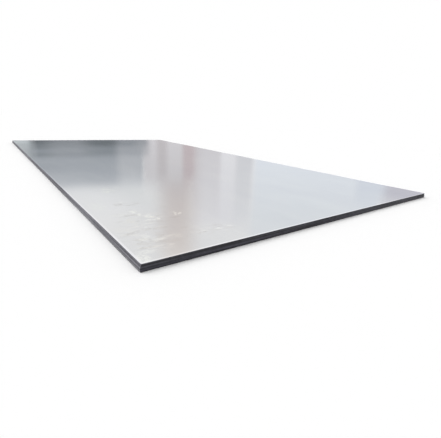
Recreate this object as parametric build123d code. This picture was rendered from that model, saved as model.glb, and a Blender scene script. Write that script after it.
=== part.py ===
from build123d import *
import os

# A steel plate of a stock size, flat, bare, and cut to a rectangle on shears.
# It lies with the side that the blades entered underneath and the torn side of the cut on top.
# Lengths are in millimetres. X runs across the plate, Y along it and Z up from its underside,
# with the origin at the middle of the underside.

# The plate
plate_width = 1250.0
plate_length = 2500.0
plate_thickness = 18.0

# The sheared edge, from the underside up
rollover_run = 2.4  # how far in from the edge the blade drew the underside up
rollover_rise = 1.2  # how far up it drew it
burnished_height = 5.0  # the upright band that the blade cut and rubbed smooth
side_lean = 3.0  # how far the torn band above it has sloped in at the top, on the long sides
end_lean = 0.8  # and at the ends, which a shear with a tighter blade gap cut

# How far each section is run past the edges that the other one cuts
overrun = 20.0


def sheared_section(run, torn_lean):
    """The plate's section from one cut edge to the opposite one, standing on its underside."""
    edge = run / 2
    burnish_top = rollover_rise + burnished_height
    centre = (edge - rollover_run, rollover_rise)
    rollover = EllipticalCenterArc(centre, rollover_run, rollover_rise, start_angle=-90, arc_size=90)
    cut = Polyline(rollover @ 1, (edge, burnish_top), (edge - torn_lean, plate_thickness))
    underside = Line((0, 0), rollover @ 0)
    top = Line(cut @ 1, (0, plate_thickness))
    half = Curve() + [underside, rollover, cut, top]
    return make_face(half + mirror(half, Plane.YZ))


def sheared_plate():
    """What the section across the plate and the section along it have in common.

    Each section carries the shear's edge on its own two sides, so where they meet at a corner
    the rollover, the burnished band and the torn band are mitred, as two cuts leave them.
    """
    across = sheared_section(plate_width, side_lean)
    along = sheared_section(plate_length, end_lean)
    sides_cut = extrude(Plane.XZ * across, plate_length / 2 + overrun, both=True)
    ends_cut = extrude(Plane.YZ * along, plate_width / 2 + overrun, both=True)
    return sides_cut & ends_cut


os.makedirs("parts", exist_ok=True)
export_step(sheared_plate(), "parts/steel_plate.step")
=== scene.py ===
# %% [markdown]
# A bare steel plate
#
# This lesson dresses one plate of steel stock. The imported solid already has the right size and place,
# so the script loads it as a fixed frame and measures everything else from it. The plate is then built
# again as a finer mesh, because a rolled face is never quite flat and a sheared edge is never quite even.

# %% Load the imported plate
import math

import bpy
import numpy as np
from mathutils import Matrix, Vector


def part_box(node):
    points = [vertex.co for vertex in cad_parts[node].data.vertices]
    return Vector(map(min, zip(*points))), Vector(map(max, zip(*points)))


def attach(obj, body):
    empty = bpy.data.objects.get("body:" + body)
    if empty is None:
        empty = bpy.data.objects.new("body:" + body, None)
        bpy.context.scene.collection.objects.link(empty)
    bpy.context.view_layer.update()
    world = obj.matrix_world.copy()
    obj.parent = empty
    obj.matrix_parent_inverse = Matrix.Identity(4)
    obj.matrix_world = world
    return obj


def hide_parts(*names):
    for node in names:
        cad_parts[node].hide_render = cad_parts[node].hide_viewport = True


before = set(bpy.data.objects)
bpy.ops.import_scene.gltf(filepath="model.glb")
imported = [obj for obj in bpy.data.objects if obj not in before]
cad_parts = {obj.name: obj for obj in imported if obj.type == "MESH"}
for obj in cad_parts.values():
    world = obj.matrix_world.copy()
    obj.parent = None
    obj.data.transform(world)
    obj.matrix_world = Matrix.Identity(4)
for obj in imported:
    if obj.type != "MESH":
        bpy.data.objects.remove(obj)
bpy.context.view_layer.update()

low, high = (np.array(corner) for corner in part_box("steel_plate"))
width, length, thickness = high - low
mm = 0.001
print("plate", np.round([width, length, thickness], 4), "m")

# %% [markdown]
# The grid under both faces
#
# One way to make the plate is a box with a bevel and a displacement. A grid of points is as short and
# gives more control: the same lines run across the top face, the underside and down the four edges, so
# the mesh closes with no seams. The lines stand a centimetre apart, close enough for the waves of a
# rolled face, and the first one stands a few millimetres in, clear of the cut edge.

# %% Lines of the grid
grid_cell = 10 * mm
edge_cell = 7 * mm


def grid_lines(start, end):
    """Places of the lines from one edge of the plate to the opposite one."""
    inner = np.linspace(start + edge_cell, end - edge_cell, round((end - start) / grid_cell))
    return np.concatenate([[start], inner, [end]])


lines_x = grid_lines(low[0], high[0])
lines_y = grid_lines(low[1], high[1])
cells_x = len(lines_x) - 1
cells_y = len(lines_y) - 1
print("grid of", cells_x, "by", cells_y, "cells")

# %% The walk round the edge
# The outline's points in order, from the left front corner along the front end and on round. Each one
# has its place in the grid and the way inward from it.
walk_i = np.concatenate([np.arange(cells_x), np.full(cells_y, cells_x),
                         np.arange(cells_x, 0, -1), np.zeros(cells_y, int)])
walk_j = np.concatenate([np.zeros(cells_x, int), np.arange(cells_y),
                         np.full(cells_x, cells_y), np.arange(cells_y, 0, -1)])
walk_count = len(walk_i)
on_end = np.repeat([True, False, True, False], [cells_x, cells_y, cells_x, cells_y])
inward_x = (walk_i == 0).astype(float) - (walk_i == cells_x)
inward_y = (walk_j == 0).astype(float) - (walk_j == cells_y)
at_corner = (inward_x != 0) & (inward_y != 0)
edge_x = lines_x[walk_i]
edge_y = lines_y[walk_j]
print("walk of", walk_count, "points with", at_corner.sum(), "corners")

# %% [markdown]
# The waves of a rolled face
#
# A plate leaves the mill through a roller leveller, which takes out most of its curl and leaves waves
# under a millimetre high and half a metre long. They are too low to see as shape, but a satin face
# shows them at once in its reflections, so they are made as real height and not painted on.

# %% Height of the top face
wave_height = 0.25 * mm
wave_length = 640 * mm
edge_wave_height = 0.25 * mm
edge_wave_length = 410 * mm
cross_bow = 0.5 * mm
# Where the waves start, and how far they run askew across the plate, in radians.
wave_start = 0.4
wave_skew = 0.8
edge_wave_start = 1.6


def face_wave(x, y):
    """How far the top face stands above or below its mean height."""
    across = 2 * x / width
    along = 2 * math.pi * y
    leveller = wave_height * np.sin(along / wave_length + wave_skew * across + wave_start)
    edge_turn = along / edge_wave_length + edge_wave_start * np.sign(x)
    edges = edge_wave_height * across**2 * np.sin(edge_turn)
    return leveller + edges - cross_bow * (across**2 - 1 / 3)


grid_x, grid_y = np.meshgrid(lines_x, lines_y, indexing="ij")
wave_mm = face_wave(grid_x, grid_y) / mm
print("waves from", round(wave_mm.min(), 2), "to", round(wave_mm.max(), 2), "mm")

# %% [markdown]
# The sheared edge
#
# This plate lies with the torn side of its cut up. From the floor up its edge is a rounded rollover,
# where the blade first drew the metal in, then an upright band that the blade cut and rubbed smooth,
# and then the band that tore off at a lean. A thick plate tears in two goes, which leaves a step along
# the torn band. A bump texture could fake all that, but the edge is what shows how thick the plate is,
# so the section is walked round the plate, and its lines wander as they do on a real cut.

# %% A line that wanders round the plate
chance = np.random.default_rng(18)
# How sharply the short waves of a line are cut off: the higher, the smoother.
smoothing = 5


def wandering(spread, reach):
    """A random line that closes on itself. It strays by spread, and a stray is about reach long."""
    waves_per_metre = np.fft.rfftfreq(walk_count, grid_cell)
    fade = np.exp(-((reach * waves_per_metre) ** 2) * smoothing)
    line = np.fft.irfft(np.fft.rfft(chance.standard_normal(walk_count)) * fade, walk_count)
    return spread * line / line.std()


rollover_run = 2.4 * mm + wandering(0.2 * mm, 120 * mm)
rollover_rise = 1.2 * mm + wandering(0.1 * mm, 120 * mm)
burnished_height = 5.0 * mm + wandering(0.5 * mm, 150 * mm) + wandering(0.25 * mm, 25 * mm)
side_lean = 3.0 * mm + wandering(0.2 * mm, 200 * mm)
end_lean = 0.8 * mm + wandering(0.08 * mm, 90 * mm)
step_share = 0.4 + wandering(0.04, 180 * mm) + wandering(0.02, 30 * mm)
burnished_mm = burnished_height / mm
print("burnished band", round(burnished_mm.min(), 1), "to", round(burnished_mm.max(), 1), "mm high")

# %% Rings of the section, from the underside up
corner_radius = 1.5 * mm
corner_blunt = corner_radius * (1 - math.sqrt(0.5))


def ring(side_inset, end_inset, height):
    """The walk at one height, set in from the plate's outline at the long sides and at the ends."""
    x = edge_x + inward_x * (side_inset + corner_blunt * at_corner)
    y = edge_y + inward_y * (end_inset + corner_blunt * at_corner)
    return np.stack([x, y, height + 0 * x], axis=1)


rollover_steps = 5
rings = []
for angle in np.linspace(0, math.pi / 2, rollover_steps):
    inset = rollover_run * (1 - math.sin(angle))
    rings.append(ring(inset, inset, rollover_rise * (1 - math.cos(angle))))
burnish_top = rollover_rise + burnished_height
burnish_ring = len(rings)
rings.append(ring(0, 0, burnish_top))
print(len(rings), "rings up to the top of the burnished band")

# %% Rings of the torn band
torn_shares = (0.24, 0.52, 0.8)
torn_depth = 0.16 * mm
torn_grain = 16 * mm
step_width_share = 0.04
step_depth = 0.35 * mm
arris_blunt = 0.35 * mm
top_height = thickness + face_wave(edge_x, edge_y)
torn_height = top_height - arris_blunt - burnish_top


def torn_ring(share, step):
    """A ring of the torn band at a share of its height, set in by its lean, its grain and the step."""
    grain = abs(wandering(torn_depth, torn_grain))
    side_inset = side_lean * share + grain + step
    end_inset = end_lean * share + grain + step / 2
    return ring(side_inset, end_inset, burnish_top + torn_height * share)


for share in torn_shares:
    rings.append(torn_ring(share * step_share, 0))
rings.append(torn_ring(step_share - step_width_share, 0))
step_ring = len(rings)
rings.append(torn_ring(step_share, step_depth))
for share in torn_shares:
    rings.append(torn_ring(step_share + share * (1 - step_share), step_depth * (1 - share)))
arris_ring = len(rings)
rings.append(ring(side_lean, end_lean, top_height - arris_blunt))
rings.append(ring(side_lean + arris_blunt, end_lean + arris_blunt, top_height))
print(len(rings), "rings in the section")

# %% Painted shade in the cut
# Painted shade: the cut is darkened where the torn band begins, in its step and under its upper arris.
ring_painted_shade = np.zeros(len(rings))
ring_painted_shade[burnish_ring] = 0.25
ring_painted_shade[step_ring] = 0.55
ring_painted_shade[arris_ring] = 0.5
print("dirt on rings", np.flatnonzero(ring_painted_shade).tolist())

# %% [markdown]
# Joining the plate
#
# Blender's own tools could bridge the rings and fill the two faces. Points numbered in order are as quick
# to write, and they are sure to meet. The rings are joined into strips, and each face is filled with its
# grid. Every strip knows its finish: the rubbed band or the torn band of a long side or of an end, or the
# rolled skin of the faces.

# %% Points of the whole plate


def face_points(height):
    """Points of a face inside its outline, line by line."""
    x = grid_x[1:-1, 1:-1].ravel()
    y = grid_y[1:-1, 1:-1].ravel()
    return np.stack([x, y, height(x, y)], axis=1)


top_points = face_points(lambda x, y: thickness + face_wave(x, y))
under_points = face_points(lambda x, y: 0 * x)
points = np.concatenate([*rings, top_points, under_points])
print(len(points), "points")

# %% Strips between the rings
rolled_finish, side_rubbed, end_rubbed, side_torn, end_torn = range(5)
rubbed_finish = np.where(on_end, end_rubbed, side_rubbed)
torn_finish = np.where(on_end, end_torn, side_torn)
here = np.arange(walk_count)
after = np.roll(here, -1)
faces = []
finishes = []
for step in range(len(rings) - 1):
    lower = step * walk_count
    upper = lower + walk_count
    faces.append(np.stack([lower + here, lower + after, upper + after, upper + here], axis=1))
    if step < burnish_ring:
        finishes.append(rubbed_finish)
    elif step < arris_ring:
        finishes.append(torn_finish)
    else:
        finishes.append(np.full(walk_count, rolled_finish))
print(len(faces), "strips round the edge")

# %% Faces of the whole plate


def face_quads(first_ring_point, first_inner_point):
    """Quads of a face that looks up: its outline from a ring, the rest from its own points."""
    numbers = np.zeros((cells_x + 1, cells_y + 1), int)
    numbers[walk_i, walk_j] = first_ring_point + here
    inner = (cells_x - 1) * (cells_y - 1)
    numbers[1:-1, 1:-1] = first_inner_point + np.arange(inner).reshape(cells_x - 1, cells_y - 1)
    corners = (numbers[:-1, :-1], numbers[1:, :-1], numbers[1:, 1:], numbers[:-1, 1:])
    return np.stack([corner.ravel() for corner in corners], axis=1)


first_top = len(rings) * walk_count
first_under = first_top + len(top_points)
top_quads = face_quads((len(rings) - 1) * walk_count, first_top)
under_quads = face_quads(0, first_under)[:, ::-1]
faces = np.concatenate([*faces, top_quads, under_quads])
finishes = np.concatenate([*finishes, np.full(len(top_quads) + len(under_quads), rolled_finish)])
print(len(faces), "quads,", 2 * len(faces), "triangles")

# %% The plate's mesh
sharp_angle = math.radians(28)
mesh = bpy.data.meshes.new("rolled_plate")
mesh.from_pydata(points.tolist(), [], faces.tolist())
mesh.validate()
plate = bpy.data.objects.new("rolled_plate", mesh)
bpy.context.collection.objects.link(plate)
mesh.polygons.foreach_set("material_index", finishes.astype(np.int32))
mesh.polygons.foreach_set("use_smooth", np.ones(len(faces), bool))
mesh.set_sharp_from_angle(angle=sharp_angle)
# The painted shade of each ring is given to its points as an attribute.
painted_shade = np.zeros(len(points))
painted_shade[:len(rings) * walk_count] = np.repeat(ring_painted_shade, walk_count)
mesh.attributes.new("painted_shade", "FLOAT", "POINT").data.foreach_set("value", painted_shade)
print("plate mesh with", len(mesh.polygons), "faces")

# %% [markdown]
# Writing a material
#
# Each finish is a small tree of nodes. It could be drawn by hand in the shader editor, but a script draws
# it the same each time. One function adds a node, sets it and wires it, and another turns a colour as a
# paint chart gives it, in sRGB, into the linear values that the shader works in. A pattern is placed by a
# Mapping node of the Texture kind, whose scale is the size of one mark, in metres. A Mix node that mixes
# colours takes them at its inputs 6 and 7 and gives the result at its output 2.

# %% Colours and nodes


def colour(hex_code):
    """An sRGB colour such as #c8c9cb as linear red, green, blue and alpha."""
    parts = [int(hex_code[i:i + 2], 16) / 255 for i in (1, 3, 5)]
    return [c / 12.92 if c <= 0.04045 else ((c + 0.055) / 1.055) ** 2.4 for c in parts] + [1.0]


def add_node(tree, kind, inputs=None, **settings):
    """Adds a node with its settings. Each input takes a value, or the output of another node."""
    node = tree.nodes.new(kind)
    for name, value in settings.items():
        setattr(node, name, value)
    for name, value in (inputs or {}).items():
        if isinstance(value, bpy.types.NodeSocket):
            tree.links.new(value, node.inputs[name])
        else:
            node.inputs[name].default_value = value
    return node


def new_material(name):
    """An empty material, its tree, its shader and the coordinates of the object in metres."""
    material = bpy.data.materials.new(name)
    material.use_nodes = True
    tree = material.node_tree
    tree.nodes.clear()
    shader = add_node(tree, "ShaderNodeBsdfPrincipled")
    add_node(tree, "ShaderNodeOutputMaterial", {"Surface": shader.outputs["BSDF"]})
    place = add_node(tree, "ShaderNodeTexCoord").outputs["Object"]
    return material, tree, shader, place


print("grey #c8c9cb is", np.round(colour("#c8c9cb")[:3], 3), "in linear light")

# %% [markdown]
# Satin rolled steel
#
# The faces are plain carbon steel, rolled smooth, levelled and lightly oiled. That gives the eye a pale
# grey metal that mirrors its surroundings softly, with fine lines along the rolling direction, a cloudy
# film of oil, and smears where a wet glove or a rag has dried. Metal has no colour of its own but the
# tint of its reflection, so all of this is a small change of roughness and of grey. A picture of steel
# would repeat over so large a face, so noises draw it, each at a real size.

# %% Rolling lines and oil film
rolled, tree, shader, place = new_material("rolled_steel_satin")
shader.inputs["Metallic"].default_value = 1.0

# Rolling lines are about 0.2 mm apart, too fine to show here, so they are drawn 6 mm apart.
line_size = (6 * mm, 700 * mm, 100 * mm)
line_place = add_node(tree, "ShaderNodeMapping", {"Vector": place, "Scale": line_size},
                      vector_type="TEXTURE").outputs["Vector"]
rolling_lines = add_node(tree, "ShaderNodeTexNoise",
                         {"Vector": line_place, "Scale": 1.0, "Detail": 2.0}).outputs["Fac"]

# The oil film gathers in clouds about a hand's width across and twice as long.
cloud_size = (150 * mm, 300 * mm, 150 * mm)
cloud_place = add_node(tree, "ShaderNodeMapping", {"Vector": place, "Scale": cloud_size},
                       vector_type="TEXTURE").outputs["Vector"]
clouds = add_node(tree, "ShaderNodeTexNoise",
                  {"Vector": cloud_place, "Scale": 1.0, "Detail": 3.0}).outputs["Fac"]
film = add_node(tree, "ShaderNodeMath", {0: rolling_lines, 1: 0.4, 2: clouds},
                operation="MULTIPLY_ADD").outputs[0]
film = add_node(tree, "ShaderNodeMapRange",
                {"Value": film, "From Min": 0.5, "From Max": 0.9}).outputs["Result"]
print("rolling lines and oil film drawn")

# %% [markdown]
# Marks of handling
#
# The plate was lifted and wiped at its left front corner, which left smears, dried drops and strokes of
# oil. A noise alone would spread such marks evenly over the face, and here they lie where hands were. So
# each mark is a soft oval, listed with its place, and noises twist it, fray its outline and break it.

# %% Places that are pushed about


def pushed(tree, place, size, reach):
    """Places pushed sideways by a noise, whose swirls have a size and whose reach is from side to side."""
    push = add_node(tree, "ShaderNodeTexNoise",
                    {"Vector": place, "Scale": 1 / size, "Detail": 1.0}).outputs["Color"]
    push = add_node(tree, "ShaderNodeVectorMath", {0: push, 1: (0.5, 0.5, 0.5)},
                    operation="SUBTRACT").outputs[0]
    return add_node(tree, "ShaderNodeVectorMath", {0: push, 1: (reach, reach, 0), 2: place},
                    operation="MULTIPLY_ADD").outputs[0]


# A rag twists as it goes.
twist_size = 90 * mm
twist_reach = 60 * mm
twisted_place = pushed(tree, place, twist_size, twist_reach)
print("twisted by up to", twist_reach / 2, "m")

# %% Smears of a wet rag
# Each smear is about 32 mm long, across the plate, and 18 mm wide.
smear_size = (32 * mm, 18 * mm, 32 * mm)
smear_place = add_node(tree, "ShaderNodeMapping", {"Vector": twisted_place, "Scale": smear_size},
                       vector_type="TEXTURE").outputs["Vector"]
smears = add_node(tree, "ShaderNodeTexNoise",
                  {"Vector": smear_place, "Scale": 1.0, "Detail": 2.0}).outputs["Fac"]
print("smears of", smear_size[:2], "m")

# %% A soft oval


def oval(tree, place, spot, size, turn=0, strength=1.0):
    """A mark on the face at a spot, of a width and a depth: full in its middle and 0 at its outline."""
    on_mark = add_node(tree, "ShaderNodeMapping",
                       {"Vector": place, "Location": (*spot, thickness),
                        "Rotation": (0, 0, math.radians(turn)), "Scale": (size[0] / 2, size[1] / 2, 1)},
                       vector_type="TEXTURE").outputs["Vector"]
    reach = add_node(tree, "ShaderNodeVectorMath", {0: on_mark}, operation="LENGTH").outputs["Value"]
    return add_node(tree, "ShaderNodeMapRange",
                    {"Value": reach, "From Min": 1.0, "From Max": 0.3, "To Max": strength},
                    interpolation_type="SMOOTHSTEP").outputs["Result"]


def ovals(tree, place, marks):
    """The strongest of many ovals. Each has its place and size in mm, its turn and its strength."""
    strongest = 0.0
    for x, y, across, along, turn, strength in marks:
        mark = oval(tree, place, (x * mm, y * mm), (across * mm, along * mm), turn, strength)
        strongest = add_node(tree, "ShaderNodeMath", {0: mark, 1: strongest},
                             operation="MAXIMUM").outputs[0]
    return strongest


print("ovals are ready")

# %% Where the rag went
# The rag left its smears in patches. Pale ones have dried, and dark ones are still wet.
# Each patch has its place, its width and its depth in mm, its turn in degrees and its strength.
smear_patches = [
    (-495, -650, 100, 150, 0, 0.5),
    (-500, -860, 140, 100, 0, 0.6),
    (-520, -990, 160, 200, 0, 1.0),
    (-420, -1005, 90, 110, -30, 0.6),
    (-550, -1075, 190, 130, 10, 1.0),
    (-555, -1155, 180, 150, 0, 1.0),
    (-400, -1160, 190, 90, -10, 0.6),
]
patches = ovals(tree, twisted_place, smear_patches)
pale_smears = add_node(tree, "ShaderNodeMapRange",
                       {"Value": smears, "From Min": 0.5, "From Max": 0.7,
                        "To Max": patches}).outputs["Result"]
dark_smears = add_node(tree, "ShaderNodeMapRange",
                       {"Value": smears, "From Min": 0.48, "From Max": 0.28,
                        "To Max": patches}).outputs["Result"]

# It also took the oil off a strip along the left edge.
strip_size = (400 * mm, 980 * mm)
wiped = oval(tree, twisted_place, (low[0], low[1] + strip_size[1] / 2), strip_size)
print(len(smear_patches), "patches of smears")

# %% Ragged outlines
# Water and oil creep along the fine lines of the rolling, so their marks are ragged and broken.
ragged_size = 10 * mm
ragged_reach = 14 * mm
ragged_place = pushed(tree, place, ragged_size, ragged_reach)
broken_size = 9 * mm
broken = add_node(tree, "ShaderNodeTexNoise",
                  {"Vector": place, "Scale": 1 / broken_size, "Detail": 2.0}).outputs["Fac"]
broken = add_node(tree, "ShaderNodeMapRange",
                  {"Value": broken, "From Min": 0.38, "From Max": 0.58, "To Min": 0.25}).outputs["Result"]
print("ragged by up to", ragged_reach / 2, "m")

# %% Dried drops and a painted highlight
# Each mark has its place, its width and its depth in mm, its turn in degrees and its strength.
dried_drops_and_corner_highlight = [
    (-490, -615, 18, 26, 0, 0.3),
    (-460, -630, 24, 64, -12, 0.4),
    (-500, -645, 38, 44, 0, 1.0),
    (-510, -680, 36, 48, -10, 1.0),
    (-485, -670, 30, 44, -5, 0.5),
    (-585, -845, 60, 130, 0, 0.45),
    (-510, -825, 40, 14, 0, 0.35),
    (-515, -940, 24, 36, 0, 1.0),
    (-560, -950, 90, 26, 0, 0.3),
    (-510, -970, 13, 30, -20, 0.9),
    (-495, -995, 30, 44, 20, 0.8),
    (-500, -1025, 44, 16, -15, 0.6),
    (-480, -1025, 14, 26, -30, 1.0),
    (-420, -1005, 13, 58, -22, 1.0),
    (-410, -1010, 13, 42, -41, 0.9),
    (-520, -1050, 44, 16, 0, 0.35),
    (-525, -1070, 44, 16, 0, 0.3),
    (-560, -1125, 24, 36, 0, 0.35),
    (-540, -1155, 44, 26, 0, 0.4),
    (-590, -1205, 60, 26, -10, 0.5),
    (-570, -1140, 34, 30, 0, 0.5),
    # This mark at the near corner is a painted highlight, not a dried drop.
    (-610, -1230, 40, 70, 0, 0.7),
    (-425, -1160, 30, 20, -30, 0.35),
    (-385, -1165, 30, 14, -10, 0.7),
    (-350, -1160, 22, 18, -30, 0.4),
]
drops_and_corner_highlight = ovals(tree, ragged_place, dried_drops_and_corner_highlight)
drops_and_corner_highlight = add_node(tree, "ShaderNodeMath", {0: drops_and_corner_highlight, 1: broken}, operation="MULTIPLY").outputs[0]
print(len(dried_drops_and_corner_highlight), "dried drops")

# %% Oily strokes
# A stroke is listed as a drop is.
oily_strokes = [
    (-525, -850, 44, 40, -20, 0.8),
    (-500, -870, 34, 18, -20, 0.9),
    (-480, -865, 36, 18, 20, 0.9),
    (-540, -965, 60, 16, 0, 0.7),
    (-535, -1020, 16, 18, 0, 0.9),
    (-490, -1045, 84, 14, -15, 0.6),
    (-440, -1035, 44, 16, -15, 0.6),
    (-420, -930, 34, 34, 0, 0.4),
    (-580, -1095, 80, 20, 22, 0.8),
    (-520, -1090, 100, 20, -8, 0.8),
    (-530, -1135, 26, 26, 0, 0.6),
    (-545, -1170, 50, 24, 10, 0.9),
    (-560, -1155, 16, 40, 0, 0.8),
    (-580, -1155, 28, 20, 0, 0.8),
    (-585, -1185, 56, 16, 0, 0.9),
    (-455, -1115, 22, 30, 0, 0.4),
    (-375, -1145, 38, 34, -20, 0.6),
    (-435, -1170, 34, 12, 0, 0.7),
]
strokes = ovals(tree, ragged_place, oily_strokes)
strokes = add_node(tree, "ShaderNodeMath", {0: strokes, 1: broken}, operation="MULTIPLY").outputs[0]
print(len(oily_strokes), "oily strokes")

# %% Painted highlight along the rim
# A painted highlight: the face is paler along the arris, about 7 mm wide.
rim_width = 7 * mm
arris = (width / 2 - side_lean.mean(), length / 2 - end_lean.mean(), 1)
off_middle = add_node(tree, "ShaderNodeVectorMath", {0: place}, operation="ABSOLUTE").outputs[0]
inside = add_node(tree, "ShaderNodeVectorMath", {0: arris, 1: off_middle},
                  operation="SUBTRACT").outputs[0]
inside = add_node(tree, "ShaderNodeSeparateXYZ", {"Vector": inside}).outputs
from_arris = add_node(tree, "ShaderNodeMath", {0: inside["X"], 1: inside["Y"]},
                      operation="MINIMUM").outputs[0]
rim_painted_highlight = add_node(tree, "ShaderNodeMapRange",
               {"Value": from_arris, "From Min": rim_width, "From Max": 0.0}).outputs["Result"]
print("rim_painted_highlight", rim_width, "m wide")

# %% Grey and gloss of the face
# A little darker under the oil and in the wet smears, paler where the rag took the oil off and where a
# smear or a drop has dried, and paler still as a painted highlight at the near corner and along the rim.
face_grey = add_node(tree, "ShaderNodeMix",
                     {"Factor": film, 6: colour("#d4d5d7"), 7: colour("#dadbdb")},
                     data_type="RGBA").outputs[2]
# The drops' grey also paints the highlight at the near corner, and the rim's grey is a painted highlight.
for marks, grey in ((wiped, "#e3e3e4"), (dark_smears, "#d2d1cf"), (pale_smears, "#e2e1de"),
                    (strokes, "#cbcac9"), (drops_and_corner_highlight, "#f2f3ee"), (rim_painted_highlight, "#f7f6f9")):
    face_grey = add_node(tree, "ShaderNodeMix",
                         {"Factor": marks, 6: face_grey, 7: colour(grey)}, data_type="RGBA").outputs[2]
tree.links.new(face_grey, shader.inputs["Base Color"])

# Bright rolled steel under a film of oil is about 0.12 rough. Dried marks make it duller.
film_gloss = add_node(tree, "ShaderNodeMapRange",
                      {"Value": film, "To Min": 0.105, "To Max": 0.125}).outputs["Result"]
dried = add_node(tree, "ShaderNodeMath", {0: pale_smears, 1: drops_and_corner_highlight}, operation="MAXIMUM").outputs[0]
face_gloss = add_node(tree, "ShaderNodeMath", {0: dried, 1: 0.1, 2: film_gloss},
                      operation="MULTIPLY_ADD").outputs[0]
tree.links.new(face_gloss, shader.inputs["Roughness"])
print(rolled.name, "with", len(tree.nodes), "nodes")

# %% [markdown]
# The bands of the sheared edge
#
# The blade rubs the lower band smooth and the upper band tears, and both carry fine lines along the
# plate. The cut is one steel all round, but the ends are painted nearly black as painted shade, and the
# long sides a mid grey as painted light. Each band could have a tree of its own, but they differ only in
# grey, polish and grain, so one function makes all four finishes.

# %% Sheared steel
# Lines along the cut are about 0.3 mm apart, too fine to show here, so they are drawn 2.4 mm apart.
cut_line_size = (260 * mm, 260 * mm, 2.4 * mm)
cut_grain_size = 7 * mm
# The grey of the painted shade in the cut.
painted_shade_grey = "#242325"


def sheared_finish(name, dark, pale, metallic, roughness, relief):
    """A cut edge with lines along it, between two greys, of a range of roughness and a height of grain."""
    finish, tree, shader, place = new_material(name)
    shader.inputs["Metallic"].default_value = metallic
    line_place = add_node(tree, "ShaderNodeMapping", {"Vector": place, "Scale": cut_line_size},
                          vector_type="TEXTURE").outputs["Vector"]
    cut_lines = add_node(tree, "ShaderNodeTexNoise",
                         {"Vector": line_place, "Scale": 1.0, "Detail": 2.0}).outputs["Fac"]
    grain = add_node(tree, "ShaderNodeTexNoise",
                     {"Vector": place, "Scale": 1 / cut_grain_size, "Detail": 4.0}).outputs["Fac"]
    mottle = add_node(tree, "ShaderNodeMath", {0: grain, 1: 0.35, 2: cut_lines},
                      operation="MULTIPLY_ADD").outputs[0]
    share = add_node(tree, "ShaderNodeMapRange",
                     {"Value": mottle, "From Min": 0.48, "From Max": 0.87}).outputs["Result"]
    grey = add_node(tree, "ShaderNodeMix",
                    {"Factor": share, 6: colour(dark), 7: colour(pale)}, data_type="RGBA").outputs[2]
    # Painted shade: the grey darkens at the rings where the torn band begins, at its step and under its
    # arris.
    painted_shade = add_node(tree, "ShaderNodeAttribute", attribute_name="painted_shade").outputs["Fac"]
    grey = add_node(tree, "ShaderNodeMix",
                    {"Factor": painted_shade, 6: grey, 7: colour(painted_shade_grey)}, data_type="RGBA").outputs[2]
    tree.links.new(grey, shader.inputs["Base Color"])
    gloss = add_node(tree, "ShaderNodeMapRange",
                     {"Value": share, "To Min": roughness[1], "To Max": roughness[0]}).outputs["Result"]
    tree.links.new(gloss, shader.inputs["Roughness"])
    bump = add_node(tree, "ShaderNodeBump", {"Height": mottle, "Strength": 0.5, "Distance": relief})
    tree.links.new(bump.outputs["Normal"], shader.inputs["Normal"])
    print(name, "with", len(tree.nodes), "nodes")
    return finish


# The ends' darker greys are painted shade, and the long sides' paler greys are painted light.
edge_finishes = [
    sheared_finish("sheared_steel_side_rubbed_painted_light", "#6f6e73", "#8f8e94", 1.0, (0.35, 0.55), 0.1 * mm),
    sheared_finish("sheared_steel_end_rubbed_painted_shade", "#3a383b", "#515159", 1.0, (0.35, 0.55), 0.1 * mm),
    sheared_finish("sheared_steel_side_torn_painted_light", "#69686d", "#8d8c93", 0.8, (0.5, 0.75), 0.4 * mm),
    sheared_finish("sheared_steel_end_torn_painted_shade", "#363437", "#4f4f56", 0.8, (0.5, 0.75), 0.4 * mm),
]

# %% Dress the plate
for finish in (rolled, *edge_finishes):
    mesh.materials.append(finish)
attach(plate, "root")
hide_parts("steel_plate")
print("finishes:", [m.name for m in mesh.materials])

# %% [markdown]
# The floor and the light
#
# A white floor runs out to a white sky, and one broad soft lamp from behind on the left gives the plate
# a side in shade. Lamps on stands could light it too, but a sky and a sun light a long plate evenly from
# end to end. Together they give a white card about the value it is written with. The lamp is hidden from
# reflections, where it would add a glare that the sky already gives.

# %% Rays of the eye


def eye_ray(tree):
    """1 for a ray from the camera, straight or by way of a mirror or a glass, and 0 for any other ray."""
    ray = add_node(tree, "ShaderNodeLightPath").outputs
    seen = add_node(tree, "ShaderNodeMath", {0: ray["Is Camera Ray"], 1: ray["Is Glossy Ray"]},
                    operation="ADD").outputs[0]
    return add_node(tree, "ShaderNodeMath", {0: seen, 1: ray["Is Transmission Ray"]},
                    operation="ADD", use_clamp=True).outputs[0]


print("rays of the eye can be told from the others")

# %% Floor
floor_reach = 80.0
floor_mesh = bpy.data.meshes.new("floor")
corners = [(-floor_reach, -floor_reach, 0), (floor_reach, -floor_reach, 0),
           (floor_reach, floor_reach, 0), (-floor_reach, floor_reach, 0)]
floor_mesh.from_pydata(corners, [], [(0, 1, 2, 3)])
floor = bpy.data.objects.new("floor", floor_mesh)
bpy.context.collection.objects.link(floor)
floor_paint, tree, shader, place = new_material("white_floor_paint")
shader.inputs["Roughness"].default_value = 0.9
shader.inputs["Specular IOR Level"].default_value = 0.0
floor_mesh.materials.append(floor_paint)
print("floor", 2 * floor_reach, "m square")

# %% White of the floor
# Near the plate the floor is painted white and takes its shadow. Far from it the floor gives the eye a
# plain white, as the sky does, so that no line shows where the two meet. It lights nothing by that.
painted_reach = 3.0
plain_reach = 12.0
from_plate = add_node(tree, "ShaderNodeVectorMath", {0: place}, operation="LENGTH").outputs["Value"]
plain_share = add_node(tree, "ShaderNodeMapRange",
                       {"Value": from_plate, "From Min": painted_reach, "From Max": plain_reach,
                        "To Max": eye_ray(tree)}, interpolation_type="SMOOTHSTEP").outputs["Result"]
painted = add_node(tree, "ShaderNodeMix",
                   {"Factor": plain_share, 6: colour("#ffffff"), 7: colour("#000000")},
                   data_type="RGBA").outputs[2]
tree.links.new(painted, shader.inputs["Base Color"])
shader.inputs["Emission Color"].default_value = colour("#ffffff")
tree.links.new(plain_share, shader.inputs["Emission Strength"])
floor_paint.cycles.emission_sampling = "NONE"
print("floor is plain white beyond", plain_reach, "m")

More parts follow.
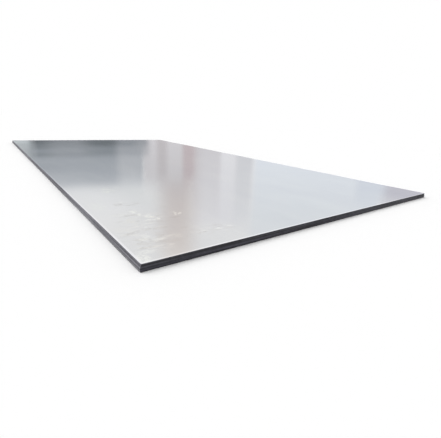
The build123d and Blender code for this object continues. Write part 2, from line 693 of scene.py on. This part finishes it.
# %% Sky
# The sky that is seen is white, and greyer overhead, as a studio is above its lamps.
sky_share = 0.7
overhead_share = 0.62
white_below = math.radians(34)
grey_above = math.radians(75)
sky = bpy.data.worlds.new("white_sky")
bpy.context.scene.world = sky
sky.use_nodes = True
tree = sky.node_tree
tree.nodes.clear()
way = add_node(tree, "ShaderNodeTexCoord").outputs["Generated"]
rise = add_node(tree, "ShaderNodeSeparateXYZ", {"Vector": way}).outputs["Z"]
seen_sky = add_node(tree, "ShaderNodeMapRange",
                    {"Value": rise, "From Min": math.sin(white_below), "From Max": math.sin(grey_above),
                     "To Min": 1.0, "To Max": overhead_share},
                    interpolation_type="SMOOTHSTEP").outputs["Result"]
strength = add_node(tree, "ShaderNodeMapRange",
                    {"Value": eye_ray(tree), "To Min": sky_share, "To Max": seen_sky}).outputs["Result"]
white = add_node(tree, "ShaderNodeBackground", {"Strength": strength, "Color": colour("#ffffff")})
add_node(tree, "ShaderNodeOutputWorld", {"Surface": white.outputs["Background"]})
print("sky gives", sky_share, "of the light")

# %% Lamp
lamp_back = math.radians(28)
lamp_left = math.radians(30)
lamp_spread = math.radians(50)
lamp_data = bpy.data.lights.new("soft_lamp", "SUN")
lamp_data.energy = math.pi * (1 - sky_share) / (math.cos(lamp_back) * math.cos(lamp_left))
lamp_data.angle = lamp_spread
lamp = bpy.data.objects.new("soft_lamp", lamp_data)
lamp.rotation_euler = (-lamp_back, -lamp_left, 0)
lamp.visible_glossy = False
bpy.context.collection.objects.link(lamp)
print("lamp gives the rest, at strength", round(lamp_data.energy, 2))

# %% [markdown]
# The camera
#
# The picture was taken from low beside the near left corner with a wide lens, so the near corner is
# large and the far edge is small. A camera could be aimed at a target, but three turns say more plainly
# how it is held: turned to the right, tipped down and rolled a little to the left. The picture is cropped
# a little more on one side than on the other.

# %% Camera
lens_mm = 25.528
camera_place = (-0.8214, -1.7541, 0.2851)
turned_right = math.radians(38.737)
tipped_down = math.radians(18.236)
rolled_left = math.radians(3.094)
picture_width_px = 441
centre_shift_px = 10
camera_data = bpy.data.cameras.new("camera")
camera_data.lens = lens_mm
camera_data.shift_x = -centre_shift_px / picture_width_px
camera_data.clip_start = 10 * mm
camera = bpy.data.objects.new("camera", camera_data)
camera.matrix_world = (Matrix.Translation(camera_place) @ Matrix.Rotation(-turned_right, 4, "Z")
                       @ Matrix.Rotation(math.pi / 2 - tipped_down, 4, "X")
                       @ Matrix.Rotation(rolled_left, 4, "Z"))
bpy.context.collection.objects.link(camera)
bpy.context.scene.camera = camera
print("camera at", camera_place)

# %% [markdown]
# Cards for the plate to mirror
#
# A satin plate shows what stands round it, and in a white studio that is nothing. Photographers stand
# cards round metal for that reason. A painted sky would do it too, but cards can be moved one at a time.
# These cards are seen only in reflections: they light nothing, cast no shadow and are not in the picture.
# They stand on circles so wide that a card's place is only its bearing, turned from the plate's length,
# and its height angles. Each one shades from a grey at its foot to a grey at its head and fades out at
# its sides and its head, and a later card stands in front of an earlier one. The same set stands in each
# quarter, so that the plate looks alike from all sides.

# %% The paper of a card


def card_paper(name, greys, side_fade_share, head_fade_share):
    """A glow from one grey at the foot to another at the head, clear at the two sides and the head."""
    paper = bpy.data.materials.new(name)
    paper.use_nodes = True
    tree = paper.node_tree
    tree.nodes.clear()
    place = add_node(tree, "ShaderNodeTexCoord").outputs["Generated"]
    height = add_node(tree, "ShaderNodeSeparateXYZ", {"Vector": place}).outputs["Z"]
    grey = add_node(tree, "ShaderNodeMix",
                    {"Factor": height, 6: colour(greys[0]), 7: colour(greys[1])},
                    data_type="RGBA").outputs[2]
    glow = add_node(tree, "ShaderNodeEmission", {"Color": grey}).outputs[0]
    across = add_node(tree, "ShaderNodeAttribute", attribute_name="across").outputs["Fac"]
    from_side = add_node(tree, "ShaderNodeMath", {0: across, 1: 0.5}, operation="PINGPONG").outputs[0]
    under_head = add_node(tree, "ShaderNodeMapRange",
                          {"Value": height, "From Min": 1.0, "From Max": 1.0 - head_fade_share},
                          interpolation_type="SMOOTHSTEP").outputs["Result"]
    solid = add_node(tree, "ShaderNodeMapRange",
                     {"Value": from_side, "From Max": side_fade_share, "To Max": under_head},
                     interpolation_type="SMOOTHSTEP").outputs["Result"]
    clear = add_node(tree, "ShaderNodeBsdfTransparent").outputs[0]
    faded = add_node(tree, "ShaderNodeMixShader", {0: solid, 1: clear, 2: glow}).outputs[0]
    add_node(tree, "ShaderNodeOutputMaterial", {"Surface": faded})
    return paper


print("card paper is ready")

# %% One card
card_columns = 13


def reflection_card(name, paper, distance, bearings, heights):
    """A curved card between two bearings and two height angles, in degrees."""
    turns = np.radians(np.linspace(*bearings, card_columns))
    levels = distance * np.tan(np.radians(heights))
    corners = [(distance * math.sin(turn), distance * math.cos(turn), level)
               for level in levels for turn in turns]
    quads = [(i, i + 1, i + 1 + card_columns, i + card_columns) for i in range(card_columns - 1)]
    card_mesh = bpy.data.meshes.new(name)
    card_mesh.from_pydata(corners, [], quads)
    across = card_mesh.attributes.new("across", "FLOAT", "POINT")
    across.data.foreach_set("value", np.tile(np.linspace(0, 1, card_columns), 2))
    card_mesh.materials.append(paper)
    card = bpy.data.objects.new(name, card_mesh)
    bpy.context.collection.objects.link(card)
    card.visible_camera = card.visible_diffuse = card.visible_shadow = card.visible_transmission = False


print("a card has", card_columns, "columns")

# %% The set of cards
# Each card has its bearings and its height angles, its greys at foot and head, and how many degrees its
# sides and its head take to fade.
card_distance = 60.0
card_step = 0.5
card_set = [
    ("haze_card", (-6, 30), (12, 24), ("#f1f3f5", "#fffefc"), 4, 5),
    ("cool_card", (42.3, 66.4), (0, 26), ("#e7edf6", "#fafdff"), 1.5, 4),
    ("lilac_card", (60.9, 70.4), (0, 13.7), ("#d8dde8", "#e6ecf5"), 1.5, 3),
    ("violet_card", (65.2, 79.5), (0, 14.7), ("#c4c3cd", "#d3d2dc"), 2, 4),
    ("tall_card", (72.5, 94), (0, 42), ("#868a8f", "#dcdee0"), 5, 16),
    ("light_card", (30.8, 38.3), (0, 22), ("#cbc9cd", "#fdfcff"), 1.5, 4),
    ("bright_card", (36.3, 40.8), (0, 22), ("#e6e6ea", "#fcfcff"), 1, 4),
    ("slim_card", (39.1, 43.5), (0, 22), ("#cdced3", "#fbfcff"), 1.2, 4),
    ("umber_card", (23.2, 34.3), (0, 30), ("#b6afb5", "#fff7f0"), 5, 6),
    ("low_edge_card", (-1.9, 6.6), (0, 9), ("#a2a8ac", "#a8aeb2"), 1.2, 1.2),
    ("pale_edge_card", (-1.9, 6.1), (0, 5.7), ("#d4dbde", "#ccd3d6"), 1.2, 0.5),
    ("grey_card", (4.1, 22.9), (8.1, 13.1), ("#abb0b7", "#bcc1c8"), 1, 0.9),
    ("dim_card", (4.7, 23.3), (5.8, 8.3), ("#767e84", "#b2b8bf"), 1.6, 0.1),
    ("dark_card", (4.7, 23.3), (0, 5.9), ("#0a0c0e", "#686f73"), 1.6, 0.1),
    ("mist_card", (6.1, 15.1), (0, 8.1), ("#2a2e31", "#abb0b6"), 3.5, 1),
    ("soft_card", (17.1, 23.2), (0, 13.3), ("#102a3c", "#dcdfe4"), 2.2, 1.5),
    ("pale_card", (22.4, 30.2), (0, 13.8), ("#dad8dc", "#dad8da"), 0.6, 2.5),
    ("ledge_card", (17.4, 23.2), (6.7, 10.3), ("#b7bbc2", "#c7c9cc"), 1.6, 1.2),
    ("deep_card", (20.6, 24.4), (0, 7.1), ("#868a8f", "#a5a8ae"), 1.6, 0.5),
    ("mauve_card", (24.4, 27.5), (0, 13.3), ("#c8c4c7", "#cdc9cb"), 1.3, 3),
    ("rose_card", (29.1, 32.6), (0, 13.8), ("#c8bcbf", "#cec3c6"), 1.4, 4),
]
for order, (name, bearings, heights, greys, side_fade, head_fade) in enumerate(card_set):
    side_fade_share = side_fade / (bearings[1] - bearings[0])
    head_fade_share = head_fade / (heights[1] - heights[0])
    paper = card_paper(name, greys, side_fade_share, head_fade_share)
    for quarter in range(4):
        turned = [bearing + 90 * quarter for bearing in bearings]
        reflection_card(f"{name}_{quarter}", paper, card_distance - card_step * order, turned, heights)
print(len(card_set), "kinds of card in each quarter")

# %% [markdown]
# The picture
#
# Blender's default view softens bright tones, so the Standard view is set, which shows each colour as it
# was written.

bpy.context.scene.view_settings.view_transform = "Standard"
